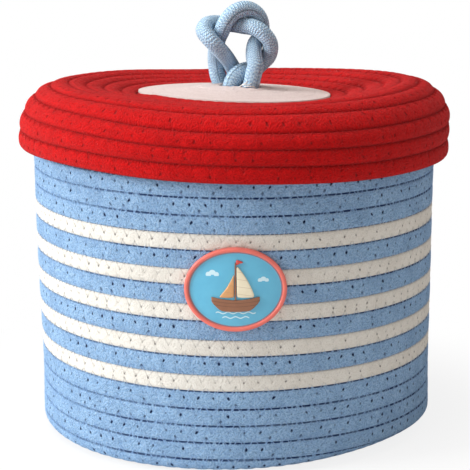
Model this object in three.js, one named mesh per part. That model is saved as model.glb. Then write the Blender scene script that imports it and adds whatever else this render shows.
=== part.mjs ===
// A round storage basket with a lid, wound from flattened cotton rope and sewn row to row.
// Millimetres, +Z up. The origin is the centre of the underside, and the badge faces -Y.
import * as THREE from "three";

// Rope of the basket and the lid, pressed flat by the seams
const ropeThickness = 7.8;
const wallRowPitch = 10;
const lidRowPitch = 9.9;
const rowGap = 0.5;
const buttGap = 0.4;
const thinnestTaper = 1.6;

// Basket
const footRadius = 121.3;
const rimRadius = 123;
const footCorner = 10;
const baseTurns = 10.5;
const lowerWallRows = 5;
const whiteStripeCount = 5;
const upperWallRows = 6;
const drawnInRows = 2.8;
const drawnInRadius = 80;
const rimTaperTurns = 0.8;

// Lid: a mound in the middle, a shallow dish round it, a rounded shoulder and a skirt
const skirtClearance = 0.5;
const seatGap = 0.35;
const shoulderRadius = 27;
const dishSlope = 12;
const dishRun = 33;
const valleyRadius = 40;
const moundSlope = 7;
const whiteLidRows = 6;
const redLidRows = 10;

// Handle of one braided rope
const handleDiameter = 9.6;
const handleSides = 8;
const handleSteps = 150;
const tackThread = 1.6;
const tackDistance = 32;
const tackClearance = 0.3;

// Oval badge on the front of the wall
const badgeWidth = 56;
const badgeHeight = 47.5;
const badgeCentreHeight = 109.3;
const badgeRimWidth = 3;
const badgeRimDepth = 2.8;
const badgeFaceDepth = 1.8;
const badgeSeatGap = 0.4;
const reliefDepth = 0.8;
const reliefGap = 0.3;

// Picture on the badge, in heights above and below the badge's centre
const hullLength = 26;
const hullDeck = -6;
const hullDepth = 6.5;
const hullEndDepth = 2.8;
const hullSheer = 2;
const sailFoot = -4.5;
const sailSplit = 1.2;
const sailTip = 0.6;
const mainSailLength = 9.9;
const mainSailHeight = 18;
const foreSailLength = 8.4;
const foreSailHeight = 13;

// How finely the shapes are divided
const stepsPerTurn = 20;
const badgeSides = 36;
const badgeRings = 3;
const reliefColumns = 6;
const tackSteps = 14;
const leastGapAllowed = 0.4;

// Sections of one row: along the profile in half widths, outwards in half thicknesses
const roundedRow = [
  [-0.67, 1],
  [0.67, 1],
  [1, -0.1],
  [0, -1],
  [-1, -0.1],
];
const flatRow = [
  [-0.67, 1],
  [0.67, 1],
  [1, -1],
  [-1, -1],
];

const degrees = Math.PI / 180;
const halfRope = ropeThickness / 2;
const wallHalfWidth = (wallRowPitch - rowGap) / 2;
const lidHalfWidth = (lidRowPitch - rowGap) / 2;

// A ring of straight facets alternates outside and inside the true circle by the same amount.
const facetScale = 2 / (1 + Math.cos(Math.PI / stepsPerTurn));

const blueRope = ropeMaterial(0x9fbadb);
const whiteRope = ropeMaterial(0xe4dcd0);
const redRope = ropeMaterial(0xc92a2c);
const handleBlue = ropeMaterial(0x94b2d2);
const threadWhite = ropeMaterial(0xf0eee8);
const badgeSalmon = softPlasticMaterial(0xee7a68);
const badgeBlue = softPlasticMaterial(0x62b4d8);
const hullBrown = softPlasticMaterial(0x8a5a3c);
const sailCream = softPlasticMaterial(0xf3e6c8);
const sailTan = softPlasticMaterial(0xd9a066);

function ropeMaterial(color) {
  return new THREE.MeshStandardMaterial({ color, roughness: 0.9, metalness: 0 });
}

function softPlasticMaterial(color) {
  return new THREE.MeshStandardMaterial({ color, roughness: 0.45, metalness: 0 });
}

// A path in the (radius, height) half plane, made of straight runs and arcs, as a function that
// gives the place at a length along it. Turns are in radians, and left is positive for them
// and for the offset from the path.
function profilePath(start, heading, runs) {
  const pieces = [];
  let [radius, height] = start;
  let angle = heading;
  let from = 0;
  for (const { length, turn } of runs) {
    pieces.push({ from, radius, height, angle, curvature: turn / length });
    [radius, height] = alongPiece(pieces.at(-1), length);
    angle += turn;
    from += length;
  }
  const pieceAt = (s) => pieces.findLast((piece) => s >= piece.from) ?? pieces[0];
  return (s, offset) => {
    const piece = pieceAt(s);
    const distance = s - piece.from;
    const [r, z] = alongPiece(piece, distance);
    const facing = piece.angle + piece.curvature * distance;
    return [r - offset * Math.sin(facing), z + offset * Math.cos(facing)];
  };
}

function alongPiece({ radius, height, angle, curvature }, distance) {
  if (curvature === 0) {
    return [radius + distance * Math.cos(angle), height + distance * Math.sin(angle)];
  }
  const facing = angle + curvature * distance;
  return [
    radius + (Math.sin(facing) - Math.sin(angle)) / curvature,
    height - (Math.cos(facing) - Math.cos(angle)) / curvature,
  ];
}

// One closed body from points and faces, turned so that its faces point outwards.
function closedBody(points, faces) {
  const volume = faces.reduce((sum, [a, b, c]) => {
    return sum + points[a].dot(new THREE.Vector3().crossVectors(points[b], points[c]));
  }, 0);
  const index = faces.flatMap(([a, b, c]) => (volume > 0 ? [a, b, c] : [a, c, b]));
  const geometry = new THREE.BufferGeometry().setFromPoints(points);
  geometry.setIndex(index);
  geometry.computeVertexNormals();
  return geometry;
}

// Joins rings of equally many points into a tube, closed by its ends or back on itself.
function tubeBody(rings, closesOnItself) {
  const sides = rings[0].length;
  const points = rings.flat();
  const faces = [];
  const joints = closesOnItself ? rings.length : rings.length - 1;
  for (let ring = 0; ring < joints; ring++) {
    const next = (ring + 1) % rings.length;
    for (let side = 0; side < sides; side++) {
      const after = (side + 1) % sides;
      const [a, b] = [ring * sides + side, ring * sides + after];
      const [c, d] = [next * sides + side, next * sides + after];
      faces.push([a, b, d], [a, d, c]);
    }
  }
  if (!closesOnItself) {
    const last = (rings.length - 1) * sides;
    for (let side = 1; side < sides - 1; side++) {
      faces.push([0, side + 1, side], [last, last + side, last + side + 1]);
    }
  }
  return closedBody(points, faces);
}

// Turns at which a coil has a section: its two ends and each whole step between them.
function sectionTurns(from, to) {
  const turns = [from];
  const closest = 0.1 / stepsPerTurn;
  for (let step = Math.ceil(from * stepsPerTurn); step / stepsPerTurn < to; step++) {
    const turn = step / stepsPerTurn;
    if (turn - from > closest && to - turn > closest) turns.push(turn);
  }
  turns.push(to);
  return turns;
}

// A rope wound along a profile, one row to a turn. Row edges stay between lowest and highest.
function coilRings(coil, from, to) {
  const { path, start, pitch, halfWidth, section, outwards, clockwise } = coil;
  const lowest = coil.lowest ?? -Infinity;
  const highest = coil.highest ?? Infinity;
  return sectionTurns(from, to).map((turn) => {
    const centre = start + pitch * turn;
    const low = Math.max(centre - halfWidth, lowest);
    const high = Math.min(centre + halfWidth, highest);
    const angle = 2 * Math.PI * turn * (clockwise ? 1 : -1);
    return section.map(([along, out]) => {
      const s = (low + high) / 2 + (along * (high - low)) / 2;
      const [radius, height] = path(s, outwards * out * halfRope);
      const r = radius * facetScale;
      return new THREE.Vector3(r * Math.sin(angle), r * Math.cos(angle), height);
    });
  });
}

// The least distance between a coil's rows, measured at the corners of its sections.
function leastRowGap(rings) {
  let least = Infinity;
  for (let ring = 0; ring + stepsPerTurn < rings.length; ring++) {
    for (const near of rings[ring]) {
      for (const far of rings[ring + stepsPerTurn]) least = Math.min(least, near.distanceTo(far));
    }
  }
  return least;
}

function reportGap(name, gap) {
  console.log(`${name}: least gap to itself ${gap.toFixed(2)} mm`);
  if (gap < leastGapAllowed) throw new Error(`${name} comes too close to itself`);
}

function namedMesh(name, geometry, material) {
  const mesh = new THREE.Mesh(geometry, material);
  mesh.name = name;
  return mesh;
}

function coilMesh(name, coil, from, to, material) {
  const rings = coilRings(coil, from, to);
  if (to - from > 1) reportGap(name, leastRowGap(rings));
  return namedMesh(name, tubeBody(rings, false), material);
}

// The share of a turn that the gap between two butted rope ends takes up, for each end
const halfButt = buttGap / 2 / (2 * Math.PI * footRadius);

// Profile of the basket: flat base, rounded foot, leaning wall, rim drawn in under the lid
const wallRows = lowerWallRows + 2 * whiteStripeCount - 1 + upperWallRows;
const straightRows = wallRows - 1 - drawnInRows;
const wallLean = Math.atan((rimRadius - footRadius) / (straightRows * wallRowPitch));
const cornerPathRadius = footCorner - halfRope;
const baseRun = footRadius - footCorner;
const cornerRun = cornerPathRadius * (Math.PI / 2 - wallLean);
const drawnInRun = drawnInRows * wallRowPitch;
const basketPath = profilePath([0, halfRope], 0, [
  { length: baseRun, turn: 0 },
  { length: cornerRun, turn: Math.PI / 2 - wallLean },
  { length: straightRows * wallRowPitch, turn: 0 },
  { length: drawnInRun, turn: drawnInRun / drawnInRadius },
]);

const firstRowStart = baseRun + cornerRun - wallRowPitch;
const rimEnd = firstRowStart + (wallRows - rimTaperTurns) * wallRowPitch + wallHalfWidth;
const basketCoil = {
  path: basketPath,
  start: firstRowStart,
  pitch: wallRowPitch,
  halfWidth: wallHalfWidth,
  highest: rimEnd,
  outwards: -1,
  clockwise: true,
};

function basketRows() {
  const base = { ...basketCoil, section: flatRow };
  const wall = { ...basketCoil, section: roundedRow };
  const meshes = [coilMesh("base_coil", base, -baseTurns, -halfButt, blueRope)];
  let row = 0;
  const addRows = (name, count, material) => {
    meshes.push(coilMesh(name, wall, row + halfButt, row + count - halfButt, material));
    row += count;
  };
  addRows("lower_wall_coil", lowerWallRows, blueRope);
  for (let stripe = 1; stripe <= whiteStripeCount; stripe++) {
    addRows(`white_stripe_${stripe}`, 1, whiteRope);
    if (stripe < whiteStripeCount) addRows(`blue_stripe_${stripe}`, 1, blueRope);
  }
  addRows("upper_wall_coil", upperWallRows, blueRope);
  return meshes;
}

// Profile of the lid, with its height counted from the middle of the shoulder
const skirtRadius = rimRadius + skirtClearance + ropeThickness;
const shoulderPathRadius = shoulderRadius - halfRope;
const shoulderCentre = skirtRadius - shoulderRadius;
const shoulderStart = [
  shoulderCentre - shoulderPathRadius * Math.sin(dishSlope * degrees),
  shoulderPathRadius * Math.cos(dishSlope * degrees),
];
const valleyTurn = (dishSlope + moundSlope) * degrees;
const valleyReach = valleyRadius * (Math.sin(dishSlope * degrees) + Math.sin(moundSlope * degrees));
const valleyRise = valleyRadius * (Math.cos(moundSlope * degrees) - Math.cos(dishSlope * degrees));
const moundReach = shoulderStart[0] - dishRun * Math.cos(dishSlope * degrees) - valleyReach;
const moundRun = moundReach / Math.cos(moundSlope * degrees);
const moundTop =
  shoulderStart[1] -
  dishRun * Math.sin(dishSlope * degrees) -
  valleyRise +
  moundRun * Math.sin(moundSlope * degrees);
const shoulderTurn = (90 + dishSlope) * degrees;
const lidPath = profilePath([0, moundTop], -moundSlope * degrees, [
  { length: moundRun, turn: 0 },
  { length: valleyRadius * valleyTurn, turn: valleyTurn },
  { length: dishRun, turn: 0 },
  { length: shoulderPathRadius * shoulderTurn, turn: -shoulderTurn },
  { length: redLidRows * lidRowPitch, turn: 0 },
]);

// Route of the handle rope: a tail under the lid, the first strand of the ring, a bight under
// the lid, the second strand, which passes over and under the first, and the other tail.
// Heights are counted from the top of the lid's middle for the strands, and from its
// underside for what lies below.
const firstTail = [
  [-38, 2, -10.4],
  [-20, 2, -10.2],
  [-12.5, 2, -6.1],
  [-10.3, 2.3, -0.5],
];
const firstStrand = [
  [-10.6, 3.4, -2.7],
  [-13.3, 5.1, 4.9],
  [-14.8, 6.2, 12.3],
  [-13.7, 5.4, 18.9],
  [-11.5, 2.8, 24.6],
  [-8.9, -0.8, 29.6],
  [-6, -3.4, 35.8],
  [-1.2, -3.1, 41.8],
  [4.2, -1.1, 44.3],
  [9.9, 1.5, 43.9],
  [15.2, 3.9, 40.2],
  [17.4, 5.3, 34.8],
  [16.2, 5.5, 29.8],
  [14.1, 4.3, 25.9],
  [11.6, 1.7, 21.6],
  [10.4, -2.8, 15.5],
  [10.4, -6.9, 9.2],
  [9.4, -8.3, 3.1],
  [9, -7.8, -2.8],
];
const bight = [
  [9, -5.3, -3.8],
  [8.3, -2, -9],
  [6, 2, -11.1],
  [3.4, 6.2, -9.1],
  [2.5, 9.6, -3.7],
];
const secondStrand = [
  [2.1, 11.6, -2.8],
  [0.1, 11, 2.8],
  [-2.8, 7.2, 8],
  [-8.3, -3, 16],
  [-12.9, -7.2, 21.5],
  [-16.1, -7.2, 25.2],
  [-19.1, -3.4, 30.6],
  [-17, 2.4, 35.2],
  [-11.2, 6.6, 36.4],
  [-5.5, 7.2, 35.4],
  [-0.5, 5.2, 34.7],
  [5.5, 0.9, 34.3],
  [11.5, -3.1, 33.2],
  [16.4, -5, 29.7],
  [20.1, -4, 23.5],
  [20.4, -0.1, 15.2],
  [16.5, 3, 8.7],
  [11.5, 3.5, 6.1],
  [6.2, 1.7, 5.4],
  [1.3, -1.6, 3.6],
  [-2.4, -4.1, 0.5],
  [-4.1, -6, -4.3],
];
const secondTail = [
  [-4.4, -8.7, -3.8],
  [-4.6, -12.4, -8.3],
  [-5, -20, -10.2],
  [-5, -38, -10.4],
];

function raised(points, height) {
  return points.map(([x, y, z]) => new THREE.Vector3(x, y, z + height));
}

const lidMiddleTop = moundTop + halfRope;
const lidMiddleUnderside = moundTop - halfRope;
const handleRoute = [
  ...raised(firstTail, lidMiddleUnderside),
  ...raised(firstStrand, lidMiddleTop),
  ...raised(bight, lidMiddleUnderside),
  ...raised(secondStrand, lidMiddleTop),
  ...raised(secondTail, lidMiddleUnderside),
];

// The middle of the lid is left open as far as the handle's legs reach.
const legs = [firstTail, firstStrand, bight, secondStrand, secondTail].flatMap((points) => [
  points[0],
  points.at(-1),
]);
const legPoints = legs.slice(1, -1);
const legReach = Math.max(...legPoints.map(([x, y]) => Math.hypot(x, y)));
const openingRadius = legReach + handleDiameter / 2 + seatGap;
const openingStart = openingRadius / Math.cos(moundSlope * degrees);
const lidCoil = {
  path: lidPath,
  start: 0,
  pitch: lidRowPitch,
  halfWidth: lidHalfWidth,
  lowest: openingStart,
  section: roundedRow,
  outwards: 1,
  clockwise: false,
};
const firstLidTurn = (openingStart + thinnestTaper - lidHalfWidth) / lidRowPitch;

function lidRows() {
  const lastTurn = whiteLidRows + redLidRows;
  return [
    coilMesh("lid_white_centre", lidCoil, firstLidTurn, whiteLidRows - halfButt, whiteRope),
    coilMesh("lid_red_coil", lidCoil, whiteLidRows + halfButt, lastTurn, redRope),
  ];
}

function circleShape(radius, sides) {
  const corner = (side) => {
    const angle = (2 * Math.PI * side) / sides;
    return new THREE.Vector2(radius * Math.cos(angle), radius * Math.sin(angle));
  };
  return new THREE.Shape(Array.from({ length: sides }, (_, side) => corner(side)));
}

function ropeAlong(points, diameter, sides, steps) {
  const extrudePath = new THREE.CatmullRomCurve3(points, false, "centripetal");
  return new THREE.ExtrudeGeometry(circleShape(diameter / 2, sides), { steps, extrudePath });
}

// The least distance between stretches of a rope that aren't next to each other
function leastRopeGap(points, diameter) {
  const places = new THREE.CatmullRomCurve3(points, false, "centripetal").getSpacedPoints(400);
  const spacing = places[0].distanceTo(places[1]);
  const apart = Math.ceil((diameter * 1.6) / spacing);
  let least = Infinity;
  for (let i = 0; i < places.length; i++) {
    for (let j = i + apart; j < places.length; j++) {
      least = Math.min(least, places[i].distanceTo(places[j]) - diameter);
    }
  }
  return least;
}

function handleMesh() {
  reportGap("handle_rope", leastRopeGap(handleRoute, handleDiameter));
  const rope = ropeAlong(handleRoute, handleDiameter, handleSides, handleSteps);
  return namedMesh("handle_rope", rope, handleBlue);
}

// A loop of thread that passes under a tail of the handle and up to the underside of the lid
function tackMesh(name, tailEnd, towards) {
  const reach = handleDiameter / 2 + tackClearance + tackThread / 2;
  const across = new THREE.Vector3(-towards.y, towards.x, 0);
  const centre = tailEnd.clone();
  centre.addScaledVector(towards, tackDistance - centre.dot(towards));
  const underside = lidPath(tackDistance, -halfRope)[1] - tackClearance;
  const bend = Array.from({ length: tackSteps + 1 }, (_, step) => {
    const angle = (Math.PI * step) / tackSteps;
    const place = centre.clone().addScaledVector(across, -reach * Math.cos(angle));
    place.z -= reach * Math.sin(angle);
    return place;
  });
  const legTop = (place) => new THREE.Vector3(place.x, place.y, underside);
  const points = [legTop(bend[0]), ...bend, legTop(bend.at(-1))];
  return namedMesh(name, ropeAlong(points, tackThread, 6, 3 * tackSteps), threadWhite);
}

// The lid sits where its underside comes within the seat gap of the rim's highest row.
function lidHeight() {
  const innerRadius = shoulderRadius - ropeThickness;
  const rimCorners = roundedRow.map(([along, out]) => {
    const s = rimEnd - wallHalfWidth + along * wallHalfWidth;
    return basketPath(s, -out * halfRope);
  });
  const heights = rimCorners.map(([radius, height]) => {
    const inwards = Math.max(radius - shoulderCentre, 0);
    return height - Math.sqrt(innerRadius ** 2 - inwards ** 2);
  });
  return Math.max(...heights) + seatGap;
}

// Places on the badge, bent round the wall: across, up and outwards from the badge's centre
const wallFootLength = baseRun + cornerRun;
const badgeRise = badgeCentreHeight - basketPath(wallFootLength, 0)[1];
const badgeLength = wallFootLength + badgeRise / Math.cos(wallLean);
const badgeBackRadius = badgeBack(0)[0];

// The radius and height of the badge's back, up or down the leaning wall from its centre
function badgeBack(up) {
  const [radius, height] = basketPath(badgeLength + up, -halfRope);
  return [radius * facetScale + badgeSeatGap, height];
}

function onBadge(across, up, out) {
  const angle = across / badgeBackRadius;
  const [backRadius, height] = badgeBack(up);
  const radius = backRadius + out;
  return new THREE.Vector3(radius * Math.sin(angle), -radius * Math.cos(angle), height);
}

function ovalPoint(halfWidth, halfHeight, side, out) {
  const angle = (2 * Math.PI * side) / badgeSides;
  return onBadge(halfWidth * Math.cos(angle), halfHeight * Math.sin(angle), out);
}

function badgeRim() {
  const section = [
    [0, 0],
    [0, badgeRimDepth * 0.6],
    [badgeRimWidth / 2, badgeRimDepth],
    [badgeRimWidth, badgeRimDepth * 0.6],
    [badgeRimWidth, 0],
  ];
  const rings = Array.from({ length: badgeSides }, (_, side) =>
    section.map(([inset, out]) => ovalPoint(badgeWidth / 2 - inset, badgeHeight / 2 - inset, side, out)),
  );
  return namedMesh("badge_rim", tubeBody(rings, true), badgeSalmon);
}

// An oval plate of rings round a middle point, the same on its back and its front
function badgeFace() {
  const inset = badgeRimWidth + reliefGap;
  const points = [];
  const faces = [];
  const layerSize = badgeRings * badgeSides + 1;
  for (const out of [0, badgeFaceDepth]) {
    points.push(onBadge(0, 0, out));
    for (let ring = 1; ring <= badgeRings; ring++) {
      const halfWidth = ((badgeWidth / 2 - inset) * ring) / badgeRings;
      const halfHeight = ((badgeHeight / 2 - inset) * ring) / badgeRings;
      for (let side = 0; side < badgeSides; side++) {
        points.push(ovalPoint(halfWidth, halfHeight, side, out));
      }
    }
  }
  const at = (layer, ring, side) => {
    if (ring === 0) return layer * layerSize;
    return layer * layerSize + 1 + (ring - 1) * badgeSides + (side % badgeSides);
  };
  for (let side = 0; side < badgeSides; side++) {
    for (let ring = 0; ring < badgeRings; ring++) {
      for (const layer of [0, 1]) {
        const [a, b] = [at(layer, ring, side), at(layer, ring, side + 1)];
        const [c, d] = [at(layer, ring + 1, side), at(layer, ring + 1, side + 1)];
        const outer = [a, c, d];
        faces.push(layer ? outer : outer.toReversed());
        if (ring > 0) faces.push(layer ? [a, d, b] : [b, d, a]);
      }
    }
    const [back, backNext] = [at(0, badgeRings, side), at(0, badgeRings, side + 1)];
    const [front, frontNext] = [at(1, badgeRings, side), at(1, badgeRings, side + 1)];
    faces.push([back, backNext, frontNext], [back, frontNext, front]);
  }
  return namedMesh("badge_face", closedBody(points, faces), badgeBlue);
}

// A raised piece of the badge's picture, between a lower and an upper edge
function badgeRelief(name, left, right, lower, upper, material) {
  const back = badgeFaceDepth + reliefGap;
  const front = back + reliefDepth;
  const rings = Array.from({ length: reliefColumns + 1 }, (_, column) => {
    const share = column / reliefColumns;
    const across = left + (right - left) * share;
    return [
      onBadge(across, lower(share), back),
      onBadge(across, upper(share), back),
      onBadge(across, upper(share), front),
      onBadge(across, lower(share), front),
    ];
  });
  return namedMesh(name, tubeBody(rings, false), material);
}

// A small boat: a hull with raised ends under a tall sail and a short one
function badgePicture() {
  const bluntEnd = Math.asin(hullEndDepth / hullDepth);
  const keel = (share) => hullDeck - hullDepth * Math.sin(bluntEnd + (Math.PI - 2 * bluntEnd) * share);
  const deck = (share) => hullDeck + hullSheer * (2 * share - 1) ** 2;
  const foot = () => sailFoot;
  const mainLeech = (share) => sailFoot + sailTip + mainSailHeight * (1 - share);
  const foreLuff = (share) => sailFoot + sailTip + foreSailHeight * share;
  const mast = sailSplit / 2;
  return [
    badgeRelief("badge_hull", -hullLength / 2, hullLength / 2, keel, deck, hullBrown),
    badgeRelief("badge_main_sail", mast, mast + mainSailLength, foot, mainLeech, sailCream),
    badgeRelief("badge_fore_sail", -mast - foreSailLength, -mast, foot, foreLuff, sailTan),
  ];
}

const basket = new THREE.Group();
basket.add(...basketRows(), badgeRim(), badgeFace(), ...badgePicture());

const lid = new THREE.Group();
lid.add(...lidRows(), handleMesh());
lid.add(tackMesh("handle_tack_left", handleRoute[0], new THREE.Vector3(-1, 0, 0)));
lid.add(tackMesh("handle_tack_front", handleRoute.at(-1), new THREE.Vector3(0, -1, 0)));
lid.position.z = lidHeight();

const storageBasket = new THREE.Group();
storageBasket.add(basket, lid);

export default storageBasket;
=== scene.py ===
"""Storage basket of coiled and sewn cotton rope with a lift-off lid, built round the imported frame.

Lengths in this script are millimetres until a mesh is made. The badge faces -Y, +Z is up.
"""

import math

import bpy
import numpy as np
from mathutils import Matrix, Vector


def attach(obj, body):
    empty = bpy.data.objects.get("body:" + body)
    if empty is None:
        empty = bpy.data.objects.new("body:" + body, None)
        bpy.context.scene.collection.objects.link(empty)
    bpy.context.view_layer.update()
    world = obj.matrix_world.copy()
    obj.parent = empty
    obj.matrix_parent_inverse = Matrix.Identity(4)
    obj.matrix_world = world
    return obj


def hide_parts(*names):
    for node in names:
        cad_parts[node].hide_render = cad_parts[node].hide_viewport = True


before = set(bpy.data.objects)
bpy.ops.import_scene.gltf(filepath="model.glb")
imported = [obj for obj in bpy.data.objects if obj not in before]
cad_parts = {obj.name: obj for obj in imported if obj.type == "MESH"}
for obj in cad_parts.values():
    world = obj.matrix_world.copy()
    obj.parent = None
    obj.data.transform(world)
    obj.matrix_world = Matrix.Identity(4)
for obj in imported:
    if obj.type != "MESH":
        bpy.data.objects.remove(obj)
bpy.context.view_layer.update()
scene = bpy.context.scene
MM = 0.001
TURN = 2 * math.pi

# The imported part's own sizes
ROPE = 7.8
HALF_ROPE = ROPE / 2
WALL_PITCH = 10.0
LID_PITCH = 9.9
FOOT_RADIUS = 121.3
RIM_RADIUS = 123.0
FOOT_CORNER = 10.0
BASE_TURNS = 10.5
WALL_ROWS = 20
DRAWN_IN_ROWS = 2.8
DRAWN_IN_RADIUS = 80.0
RIM_TAPER_TURNS = 0.8
HALF_WIDTH = 4.75
SHOULDER_RADIUS = 27.0
SKIRT_RADIUS = RIM_RADIUS + 0.5 + ROPE
DISH_SLOPE = math.radians(12)
DISH_RUN = 33.0
VALLEY_RADIUS = 40.0
MOUND_SLOPE = math.radians(7)
WHITE_LID_ROWS = 6
RED_LID_ROWS = 10
LID_HEIGHT = 185.04
OPENING_RADIUS = 17.4
BADGE_WIDTH = 56.0
BADGE_HEIGHT = 47.5
BADGE_CENTRE = 109.3
BADGE_BACK = 122.2
BADGE_RIM_FRONT = 126.3
BADGE_RIM_WIDTH = 2.6
BADGE_FACE_FRONT = 125.1
HANDLE_DIAMETER = 9.95
TACK_DISTANCE = 32.0
# Between neighbouring rows, and the least width that a row tapers to
ROW_GAP = 0.02
LEAST_WIDTH = 0.3


def smooth_step(x, low, high):
    t = np.clip((x - low) / (high - low), 0, 1)
    return t * t * (3 - 2 * t)


def stacked(*parts):
    """Coordinates, or other values, side by side in a new last axis."""
    return np.stack(np.broadcast_arrays(*parts), -1)


def bump(x, middle, width):
    return np.exp(-(((x - middle) / width) ** 2))


def round_sum(angle, mean, sine, cosine, sine_twice, cosine_twice):
    """A mean, and shares of the sine and cosine of the angle and of twice the angle."""
    once = sine * np.sin(angle) + cosine * np.cos(angle)
    return mean + once + sine_twice * np.sin(2 * angle) + cosine_twice * np.cos(2 * angle)


def add_object(name, data):
    made = bpy.data.objects.new(name, data)
    scene.collection.objects.link(made)
    return made


# ---- camera, at the photograph's place ----


def add_camera():
    focal_pixels, frame_pixels = 1609.6, 470
    data = bpy.data.cameras.new("camera")
    data.sensor_width = 36
    data.lens = 36 * focal_pixels / frame_pixels
    data.clip_start = 0.05
    data.clip_end = 30
    camera = add_object("camera", data)
    pitch, roll = math.radians(11.88), math.radians(-0.501)
    forward = Vector((0, math.cos(pitch), -math.sin(pitch)))
    level, rise = Vector((1, 0, 0)), Vector((0, math.sin(pitch), math.cos(pitch)))
    right = math.cos(roll) * level + math.sin(roll) * rise
    up = math.cos(roll) * rise - math.sin(roll) * level
    turned = Matrix((right, up, -forward)).transposed().to_4x4()
    place = (0, -0.984, 0.3203)
    camera.matrix_world = Matrix.Translation(place) @ turned
    scene.camera = camera


add_camera()

# ---- profiles and coils ----


class Profile:
    """A path of straight runs and arcs in the (radius, height) half plane."""

    def __init__(self, start, heading, runs):
        self.rows = np.empty((0, 5))
        begin, place, angle = 0.0, start, heading
        for length, turn in runs:
            self.rows = np.vstack([self.rows, [begin, *place, angle, turn / length]])
            begin, angle = begin + length, angle + turn
            place = self(begin, 0)

    def __call__(self, s, offset):
        s, offset = np.broadcast_arrays(np.asarray(s, float), np.asarray(offset, float))
        place = np.clip(np.searchsorted(self.rows[:, 0], s, side="right") - 1, 0, None)
        begin, radius, height, angle, curve = (self.rows[:, k][place] for k in range(5))
        distance = s - begin
        bent = np.where(curve == 0, 1.0, curve)
        facing = angle + curve * distance
        r_arc = radius + (np.sin(facing) - np.sin(angle)) / bent
        z_arc = height - (np.cos(facing) - np.cos(angle)) / bent
        r = np.where(curve == 0, radius + distance * np.cos(angle), r_arc)
        z = np.where(curve == 0, height + distance * np.sin(angle), z_arc)
        return r - offset * np.sin(facing), z + offset * np.cos(facing)


class Coil:
    """A rope wound along a profile, one row to a turn, with a zigzag seam over each edge."""

    STEPS = 12000
    TURNS_BEYOND = 1.5
    LEAST_RADIUS = 3

    def __init__(
        self, body, path, start, pitch, outward, direction, first, last, stitch_length,
        slide=None, shifts=((0,), (0,)),
    ):
        self.body, self.path, self.start, self.pitch = body, path, start, pitch
        self.outward, self.direction, self.last = outward, direction, last
        self.slide, self.shifts = slide, shifts
        turns = np.linspace(first - self.TURNS_BEYOND, last + self.TURNS_BEYOND, self.STEPS)
        middle, seam = (
            np.maximum(np.abs(path(start + pitch * (turns + up), 0)[0]), self.LEAST_RADIUS)
            for up in (0, 0.5)
        )
        self.turns = turns
        self.phases = self.summed(TURN * seam / stitch_length(turns), turns)
        self.lengths = self.summed(TURN * middle, turns)

    @staticmethod
    def summed(rate, turns):
        steps = (rate[1:] + rate[:-1]) / 2 * np.diff(turns)
        return np.concatenate([[0], np.cumsum(steps)])

    def phase(self, turn):
        return np.interp(turn, self.turns, self.phases)

    def turn_at(self, phase):
        return np.interp(phase, self.phases, self.turns)

    def length(self, turn):
        return np.interp(turn, self.turns, self.lengths)

    def shift(self, turn):
        """How far the seam over this turn lies from its even place."""
        return np.interp(turn, *self.shifts)

    def place(self, turn, across, out):
        s = self.start + self.pitch * turn + across
        angle = TURN * turn * self.direction
        if self.slide:
            s = self.slide(s, math.pi - angle)
        radius, height = self.path(np.maximum(s, 0.05), self.outward * out)
        return stacked(radius * np.sin(angle), radius * np.cos(angle), height)


wall_run = (WALL_ROWS - 1 - DRAWN_IN_ROWS) * WALL_PITCH
wall_lean = math.atan((RIM_RADIUS - FOOT_RADIUS) / wall_run)
base_run = FOOT_RADIUS - FOOT_CORNER
corner_turn = math.pi / 2 - wall_lean
corner_run = (FOOT_CORNER - HALF_ROPE) * corner_turn
drawn_in_run = DRAWN_IN_ROWS * WALL_PITCH
basket_path = Profile((0, HALF_ROPE), 0, [
    (base_run, 0),
    (corner_run, corner_turn),
    (wall_run, 0),
    (drawn_in_run, drawn_in_run / DRAWN_IN_RADIUS),
])
first_row = base_run + corner_run - WALL_PITCH
rim_end = first_row + (WALL_ROWS - RIM_TAPER_TURNS) * WALL_PITCH + HALF_WIDTH

shoulder_path = SHOULDER_RADIUS - HALF_ROPE
shoulder_centre = SKIRT_RADIUS - SHOULDER_RADIUS
shoulder_reach = shoulder_centre - shoulder_path * math.sin(DISH_SLOPE)
shoulder_rise = shoulder_path * math.cos(DISH_SLOPE)
valley_turn = DISH_SLOPE + MOUND_SLOPE
valley_reach = VALLEY_RADIUS * (math.sin(DISH_SLOPE) + math.sin(MOUND_SLOPE))
valley_rise = VALLEY_RADIUS * (math.cos(MOUND_SLOPE) - math.cos(DISH_SLOPE))
mound_reach = shoulder_reach - DISH_RUN * math.cos(DISH_SLOPE) - valley_reach
mound_run = mound_reach / math.cos(MOUND_SLOPE)
mound_foot = shoulder_rise - DISH_RUN * math.sin(DISH_SLOPE) - valley_rise
mound_top = mound_foot + mound_run * math.sin(MOUND_SLOPE)
shoulder_turn = math.pi / 2 + DISH_SLOPE
lid_path = Profile((0, mound_top + LID_HEIGHT), -MOUND_SLOPE, [
    (mound_run, 0),
    (VALLEY_RADIUS * valley_turn, valley_turn),
    (DISH_RUN, 0),
    (shoulder_path * shoulder_turn, -shoulder_turn),
    (RED_LID_ROWS * LID_PITCH, 0),
])
opening_start = OPENING_RADIUS / math.cos(MOUND_SLOPE)


def wall_stitch(turn):
    """Length of one stitch: the white stripes are sewn a little finer."""
    on_stripes = smooth_step(turn, 4.0, 5.0) * (1 - smooth_step(turn, 13.6, 14.4))
    return 8.7 - 1.0 * on_stripes


def lid_stitch(turn):
    return 7.2 + 1.75 * smooth_step(turn, 5.0, 7.0)


def is_white(row):
    """Five rows of the wall are white: every second one of the stripes."""
    return 5 <= row <= 13 and row % 2 == 1


WHITE_NARROWING = 0.49


def white_row_shifts():
    """White rows are narrower than blue ones, so both of their seams lie nearer to their middle."""
    turns, shifts = [], []
    for row in range(WALL_ROWS):
        turns += [row + 0.01, row + 0.99]
        shifts += [WHITE_NARROWING * (is_white(row + 1) - is_white(row))] * 2
    return turns, shifts


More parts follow.
